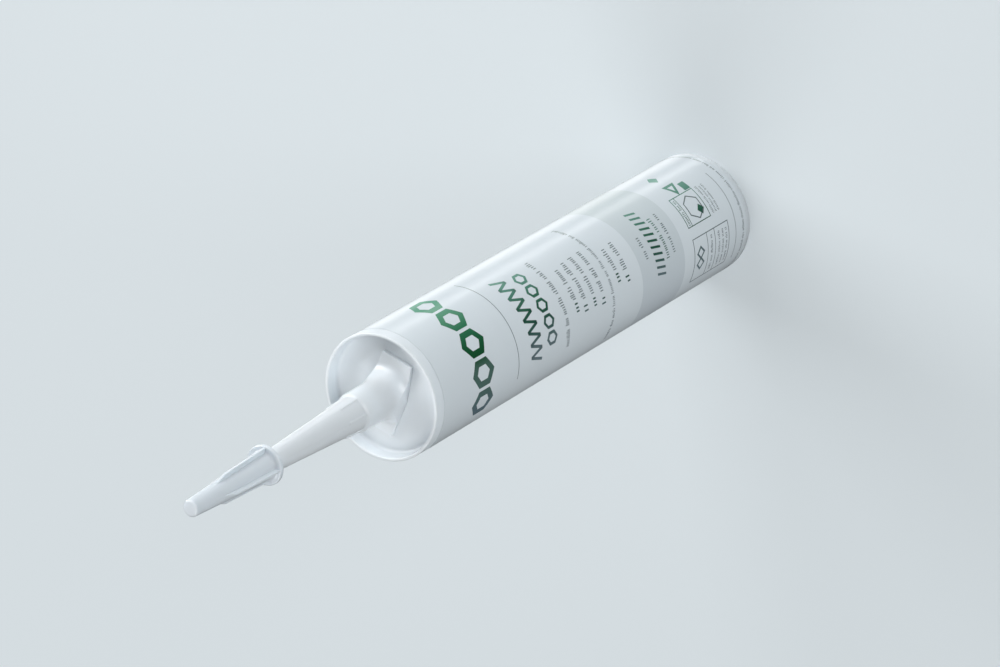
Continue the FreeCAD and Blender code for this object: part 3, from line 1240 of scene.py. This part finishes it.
@dataclass
class Nozzle:
    """The screwed nozzle: winged plate, flared hub, low ridges and a long tapered spout."""

    tube: Tube
    hub_radius: float = 7.6
    socket_radius: float = 6.75
    socket_depth: float = 14.3
    socket_shoulder: float = 0.7
    socket_round: float = 0.2
    plate_thickness: float = 1.7
    wing_turn_deg: float = -54.5
    wing_reach: float = 15.2
    wing_end_width: float = 12.8
    wing_root_margin: float = 0.4
    wing_spare: float = 1.0
    flare_reach: float = 4.6
    flare_height: float = 9.0
    flare_steps: int = 16
    hub_taper: float = 0.15
    hub_shoulder: float = 0.8
    hub_round: float = 0.6
    ridge_count: int = 6
    ridge_width: float = 0.9
    ridge_round: float = 0.16
    ridge_rise: float = 0.34
    ridge_length: float = 9.0
    ridge_run_out: float = 2.4
    ridge_sunk_share: float = 0.6
    spout_start: float = 23.5
    spout_root_radius: float = 6.58
    spout_root_round: float = 0.5
    spout_tip_radius: float = 2.0
    spout_tip_round: float = 0.2
    spout_bore_round: float = 0.1
    spout_wall: float = 1.15
    length: float = 112.0
    soft_edge: float = 0.18
    soft_edge_deg: float = 50.0
    steps: int = 160

    @property
    def taper(self) -> float:
        """How much the spout's radius falls for each millimetre."""
        return ((self.spout_root_radius - self.spout_tip_radius)
                / (self.length - self.spout_start))

    @property
    def flare_top(self) -> float:
        """Height above the seat at which the flare meets the hub."""
        return self.plate_thickness + self.flare_height

    @property
    def hub_end(self) -> float:
        """Height above the seat at which the hub's shoulder starts."""
        return self.spout_start - self.hub_shoulder

    def flared_disc(self) -> bmesh.types.BMesh:
        """Turn the plate and its flare as a round disc, wider than the wings.

        Returns:
            The closed disc.
        """
        inner = (self.hub_radius + self.socket_radius) / 2
        rim = math.hypot(self.wing_reach, self.wing_end_width / 2) + self.wing_spare
        bm = bmesh.new()
        start = bm.verts.new((0.0, 0.0, 0.0))
        arc = bmesh.ops.spin(bm, geom=[start], cent=(1.0, 0.0, 0.0), axis=(0.0, 1.0, 0.0),
                             dvec=(0.0, 0.0, 0.0), angle=-math.pi / 2, steps=self.flare_steps,
                             use_merge=False, use_duplicate=False)
        last = next(item for item in arc["geom_last"] if isinstance(item, bmesh.types.BMVert))
        bmesh.ops.scale(bm, vec=(self.flare_reach * MM, 1.0, self.flare_height * MM),
                        verts=bm.verts[:])
        bmesh.ops.translate(bm, vec=(self.hub_radius * MM, 0.0, self.flare_top * MM),
                            verts=bm.verts[:])
        corners = ((rim, self.plate_thickness), (rim, 0.0), (inner, 0.0), (inner, self.flare_top))
        around = [last, *(bm.verts.new((r * MM, 0.0, z * MM)) for r, z in corners), start]
        for pair in zip(around, around[1:]):
            bm.edges.new(pair)
        bmesh.ops.spin(bm, geom=bm.verts[:] + bm.edges[:], cent=(0.0, 0.0, 0.0),
                       axis=(0.0, 0.0, 1.0), dvec=(0.0, 0.0, 0.0), angle=FULL_TURN,
                       steps=self.steps, use_merge=True, use_duplicate=False)
        bmesh.ops.recalc_face_normals(bm, faces=bm.faces[:])
        return bm

    def wings(self) -> bmesh.types.BMesh:
        """Cut the flared disc to the wings' six-sided outline.

        Returns:
            The closed winged plate.
        """
        bm = self.flared_disc()
        root = self.hub_radius + self.wing_root_margin
        end = self.wing_end_width / 2
        lean = Vector((root - end, self.wing_reach, 0.0)).normalized()
        sides = [(Vector((self.wing_reach, 0.0, 0.0)), Vector((1.0, 0.0, 0.0))),
                 (Vector((-self.wing_reach, 0.0, 0.0)), Vector((-1.0, 0.0, 0.0)))]
        for right in (1.0, -1.0):
            for up in (1.0, -1.0):
                sides.append((Vector((0.0, up * root, 0.0)),
                              Vector((right * lean.x, up * lean.y, 0.0))))
        for point, outward in sides:
            cut = bmesh.ops.bisect_plane(bm, geom=bm.verts[:] + bm.edges[:] + bm.faces[:],
                                         dist=ON_CUT, plane_co=point * MM, plane_no=outward,
                                         clear_outer=True)
            open_edges = [item for item in cut["geom_cut"]
                          if isinstance(item, bmesh.types.BMEdge)]
            bmesh.ops.contextual_create(bm, geom=open_edges)
        bmesh.ops.remove_doubles(bm, verts=bm.verts[:], dist=WELD)
        bmesh.ops.recalc_face_normals(bm, faces=bm.faces[:])
        return bm

    def spout(self) -> bmesh.types.BMesh:
        """Turn the hub, the spout and their bore.

        Returns:
            The closed hollow cone.
        """
        bore = self.spout_tip_radius - self.spout_wall
        return turned([
            Corner(self.socket_radius, 0.0, self.socket_round, 2),
            Corner(self.hub_radius, 0.0),
            Corner(self.hub_radius, self.flare_top),
            Corner(self.hub_radius - self.hub_taper, self.hub_end, self.hub_round, 5),
            Corner(self.spout_root_radius, self.spout_start, self.spout_root_round, 4),
            Corner(self.spout_tip_radius, self.length, self.spout_tip_round, 3),
            Corner(bore, self.length, self.spout_bore_round, 2),
            Corner(self.spout_root_radius - self.spout_wall, self.spout_start),
            Corner(self.socket_radius - self.socket_shoulder, self.socket_depth),
            Corner(self.socket_radius, self.socket_depth),
        ], self.steps)

    def ridge(self) -> bmesh.types.BMesh:
        """Make one low ridge along the root of the spout.

        Returns:
            The closed ridge on the XZ plane.
        """
        ridge_end = self.spout_start + self.ridge_length
        foot = self.spout_root_radius + self.ridge_rise + self.hub_shoulder * self.taper
        tip = self.spout_root_radius + self.ridge_rise - self.ridge_length * self.taper
        buried = self.spout_root_radius - self.spout_wall * self.ridge_sunk_share
        sunk = buried - (self.ridge_length + self.ridge_run_out) * self.taper
        return plate([(buried, self.hub_end), (foot, self.hub_end), (tip, ridge_end),
                      (sunk, ridge_end + self.ridge_run_out)],
                     self.ridge_width, self.ridge_round)

    def make(self, material: bpy.types.Material) -> list[bpy.types.Object]:
        """Build the nozzle.

        Args:
            material: The moulded plastic.

        Returns:
            The nozzle alone.
        """
        parts = [self.spout(), self.wings(), *in_a_ring(self.ridge, self.ridge_count)]
        put(parts, self.tube.seat, self.wing_turn_deg)
        piece = united("nozzle_body", parts, material)
        soften = piece.modifiers.new("soft_edges", "BEVEL")
        soften.width = self.soft_edge * MM
        soften.segments = 2
        soften.limit_method = "ANGLE"
        soften.angle_limit = math.radians(self.soft_edge_deg)
        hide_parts("nozzle")
        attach(piece, "nozzle")
        return [piece]


@dataclass
class Cap:
    """The push-on cap: round flange, tapered body with a closed tip, and four fins."""

    tube: Tube
    start: float = 73.9
    length: float = 43.8
    mouth: float = 4.17
    mouth_round: float = 0.3
    taper: float = 0.05175
    tip_wall: float = 1.2
    root_radius: float = 5.3
    tip_radius: float = 3.15
    tip_round: float = 0.8
    flange_radius: float = 7.5
    flange_thickness: float = 1.8
    flange_round: float = 0.6
    flange_root_round: float = 1.0
    fin_count: int = 4
    fin_turn_deg: float = -130.5
    fin_thickness: float = 0.95
    fin_root_radius: float = 7.1
    fin_end_radius: float = 5.9
    fin_length: float = 24.1
    fin_run_out: float = 7.2
    fin_round: float = 0.14
    steps: int = 144

    def shell(self) -> bmesh.types.BMesh:
        """Turn the cap's body, flange and hollow.

        Returns:
            The closed shell.
        """
        roof = self.length - self.tip_wall
        return turned([
            Corner(self.mouth, 0.0, self.mouth_round, 3),
            Corner(self.flange_radius, 0.0, self.flange_round, 5),
            Corner(self.flange_radius, self.flange_thickness, self.flange_round, 5),
            Corner(self.root_radius, self.flange_thickness, self.flange_root_round, 6),
            Corner(self.tip_radius, self.length, self.tip_round, 6),
            Corner(0.0, self.length),
            Corner(0.0, roof),
            Corner(self.mouth - roof * self.taper, roof, self.mouth_round, 3),
        ], self.steps)

    def fin(self) -> bmesh.types.BMesh:
        """Make one fin.

        Returns:
            The closed fin on the XZ plane.
        """
        wall = (self.root_radius + self.mouth) / 2
        end = self.fin_length + self.fin_run_out
        low = self.flange_thickness / 2
        slope = (self.root_radius - self.tip_radius) / (self.length - self.flange_thickness)
        return plate([(wall, low), (self.fin_root_radius, low),
                      (self.fin_end_radius, self.fin_length),
                      (wall - slope * end, end)], self.fin_thickness, self.fin_round)

    def make(self, material: bpy.types.Material) -> list[bpy.types.Object]:
        """Build the cap.

        Args:
            material: The moulded plastic.

        Returns:
            The cap alone.
        """
        parts = [self.shell(), *in_a_ring(self.fin, self.fin_count)]
        put(parts, self.tube.seat + self.start, self.fin_turn_deg)
        piece = united("spout_cap", parts, material)
        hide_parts("nozzle_cap")
        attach(piece, "nozzle_cap")
        return [piece]


# Studio


@dataclass(frozen=True)
class SoftBox:
    """A square or oblong lamp that faces the object; lengths in metres, power in watts."""

    name: str
    direction: tuple[float, float, float]
    power: float
    distance: float = 1.6
    width: float = 0.9
    height: float = 0.9

    def hang(self, target: Vector) -> bpy.types.Object:
        """Hang the lamp.

        Args:
            target: Point that it faces.

        Returns:
            The lamp, unseen by the camera.
        """
        data = bpy.data.lights.new(self.name, "AREA")
        data.shape = "RECTANGLE"
        data.size = self.width
        data.size_y = self.height
        data.energy = self.power
        lamp = bpy.data.objects.new(self.name, data)
        aim = Vector(self.direction).normalized()
        lamp.location = target + aim * self.distance
        lamp.rotation_mode = "QUATERNION"
        lamp.rotation_quaternion = aim.to_track_quat("Z", "Y")
        lamp.visible_camera = False
        bpy.context.scene.collection.objects.link(lamp)
        return lamp


@dataclass
class Studio:
    """Pale floor, graded surroundings and soft boxes."""

    backdrop: str = "D5DDE1"
    evenly: float = 0.06
    overhead: float = 0.22
    floor_half: float = 6.0
    target: tuple[float, float, float] = (0.0, 0.0, 0.14)
    # The last two lie under the floor, where they draw the long streaks along the tube.
    boxes: tuple[SoftBox, ...] = (
        SoftBox("front_box", (-0.161, -0.913, 0.375), 10.8),
        SoftBox("side_box", (0.913, -0.161, 0.375), 9.2),
        SoftBox("far_side_box", (0.84, 0.392, 0.375), 17.5),
        SoftBox("back_box", (-0.406, 0.341, 0.848), 9.5),
        SoftBox("streak_box", (0.6475, 0.0, -0.762), 1.1, 1.3, 0.18, 1.0),
        SoftBox("edge_box", (0.416, 0.496, -0.762), 1.6, 1.3, 0.45, 1.0),
    )

    def lay_floor(self) -> bpy.types.Object:
        """Lay the floor that the cartridge stands on.

        Returns:
            The floor, which lamps under it shine through.
        """
        bm = bmesh.new()
        bmesh.ops.create_grid(bm, x_segments=1, y_segments=1, size=self.floor_half)
        floor = finished("studio_floor", bm, PaleFloor(colour=self.backdrop).build())
        floor.visible_glossy = False
        floor.visible_shadow = False
        return floor

    def surround(self) -> None:
        """Set the world: the backdrop to the camera, and a little light that grows overhead."""
        world = bpy.data.worlds.new("graded_surroundings")
        bpy.context.scene.world = world
        world.use_nodes = True
        tree = world.node_tree
        tree.nodes.clear()
        place = add_node(tree, "ShaderNodeTexCoord").outputs["Generated"]
        height = add_node(tree, "ShaderNodeSeparateXYZ", links={"Vector": place})
        above = add_node(tree, "ShaderNodeMapRange",
                         {"To Min": self.evenly, "To Max": self.evenly + self.overhead},
                         {"Value": height.outputs["Z"]})
        around = add_node(tree, "ShaderNodeBackground", {"Color": linear("FFFFFF")},
                          {"Strength": above.outputs["Result"]})
        seen = add_node(tree, "ShaderNodeBackground", {"Color": linear(self.backdrop)})
        path = add_node(tree, "ShaderNodeLightPath")
        both = add_node(tree, "ShaderNodeMixShader", links={"Fac": path.outputs["Is Camera Ray"]})
        tree.links.new(around.outputs[0], both.inputs[1])
        tree.links.new(seen.outputs[0], both.inputs[2])
        add_node(tree, "ShaderNodeOutputWorld", links={"Surface": both.outputs[0]})

    def make(self) -> None:
        """Set up the floor, the surroundings and the lamps."""
        self.lay_floor()
        self.surround()
        for box in self.boxes:
            box.hang(Vector(self.target))


@dataclass(frozen=True)
class PhotoCamera:
    """The photograph's own view: a long lens, looking down past the nozzle and rolled."""

    place: tuple[float, float, float] = (-0.001838, -1.114715, 1.451882)
    right: tuple[float, float, float] = (-0.505705, -0.657421, -0.558623)
    up: tuple[float, float, float] = (0.862706, -0.38537, -0.327456)
    lens: float = 167.283
    sensor: float = 36.0
    nearest: float = 0.05
    farthest: float = 50.0

    def make(self) -> bpy.types.Object:
        """Set up the camera as the scene's own.

        Returns:
            The camera.
        """
        data = bpy.data.cameras.new("photo_camera")
        data.lens = self.lens
        data.sensor_width = self.sensor
        data.clip_start = self.nearest
        data.clip_end = self.farthest
        camera = bpy.data.objects.new("photo_camera", data)
        right, up = Vector(self.right).normalized(), Vector(self.up)
        back = right.cross(up).normalized()
        up = back.cross(right)
        turn = Matrix((right, up, back)).transposed()
        camera.matrix_world = Matrix.Translation(Vector(self.place)) @ turn.to_4x4()
        bpy.context.scene.collection.objects.link(camera)
        bpy.context.scene.camera = camera
        return camera


# The cartridge's own finishes

# White and nearly opaque, moulded in a satin mould: it looks soft and waxy, with broad sheen.
TUBE_PLASTIC = MouldedPolyethylene("white_polyethylene_tube", "E3E9ED", "DCE3E8", 0.36, 2.0, 0.35)
# Unpigmented and milky from a polished mould: light sinks in, so its shadows stay pale, and
# its skin carries a narrow bright streak.
SPOUT_PLASTIC = MouldedPolyethylene("milky_polyethylene_nozzle", "E8F0F6", "E3EBF2", 0.28,
                                    3.6, 0.6, 0.6)
# The same plastic in a thin shell, which looks a little greyer, and light sinks in less far,
# so that the fins stay crisp.
CAP_PLASTIC = MouldedPolyethylene("milky_polyethylene_cap", "DFE6EC", "D9E1E7", 0.28,
                                  1.2, 0.6, 0.6)
# Natural plastic from a plainer mould: duller and a touch yellower than the tube.
PISTON_PLASTIC = MouldedPolyethylene("natural_polyethylene_piston", "E4E6E2", "DBDEDB", 0.42,
                                     1.5, 0.15)
# Dense green ink, deep green ahead; the bluish slate toward the left is a painted reflection, and
# the paler green toward the right a painted highlight.
BOLD_INK_AND_PAINTED_LIGHT = FlexoInkWithPaintedLight("green_flexo_ink_and_painted_light", (
    (-60.0, "5A6F78"), (-45.0, "4E6A66"), (-22.0, "47665C"), (-12.0, "084C27"),
    (0.0, "125833"), (15.0, "2B7250"), (30.0, "529070"), (60.0, "66A28A")))
# The same run of colour, with its painted reflection and highlight, in thin strokes, which let some
# of the film through and look paler.
MIDDLE_INK_AND_PAINTED_LIGHT = FlexoInkWithPaintedLight("thin_green_ink_and_painted_light", (
    (-60.0, "72828A"), (-30.0, "5C6F73"), (-20.0, "3E5E59"), (-10.0, "2A5546"),
    (0.0, "2B5C49"), (10.0, "3E6F5B"), (20.0, "548676"), (32.0, "6E9B8B"), (50.0, "80AB9D")))
# Grey ink of the small print, which reads as soft grey rows; its bluer left and paler, greener
# right are painted light.
SMALL_INK_AND_PAINTED_LIGHT = FlexoInkWithPaintedLight("grey_flexo_ink_and_painted_light", (
    (-60.0, "6C767E"), (0.0, "5E6C70"), (60.0, "87958F")))
# A faint tint of grey, only a little darker than the film; its touch paler, greener right is a
# painted highlight.
PANEL_INK_AND_PAINTED_LIGHT = FlexoInkWithPaintedLight("pale_grey_flexo_tint_and_painted_light", ((-60.0, "CBD3D9"), (60.0, "CFD8DA")))


def main() -> None:
    """Build the cartridge and its studio."""
    logging.basicConfig(level=logging.INFO, format="%(name)s %(message)s")
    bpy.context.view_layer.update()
    bpy.context.scene.view_settings.view_transform = "Standard"
    PhotoCamera().make()
    Studio().make()

    tube = Tube()
    piston = Piston(tube)
    inks = {Tint.PANEL: PANEL_INK_AND_PAINTED_LIGHT.build(), Tint.SMALL: SMALL_INK_AND_PAINTED_LIGHT.build(),
            Tint.MIDDLE: MIDDLE_INK_AND_PAINTED_LIGHT.build(), Tint.BOLD: BOLD_INK_AND_PAINTED_LIGHT.build()}
    pieces = tube.make(TUBE_PLASTIC.build())
    pieces += Label(tube).make(CastFilm().build(), inks)
    pieces += piston.make(PISTON_PLASTIC.build())
    pieces += Paste(tube, piston).make(SealantPaste().build())
    pieces += Nozzle(tube).make(SPOUT_PLASTIC.build())
    pieces += Cap(tube).make(CAP_PLASTIC.build())
    for piece in pieces:
        report(piece)


if __name__ == "__main__":
    main()
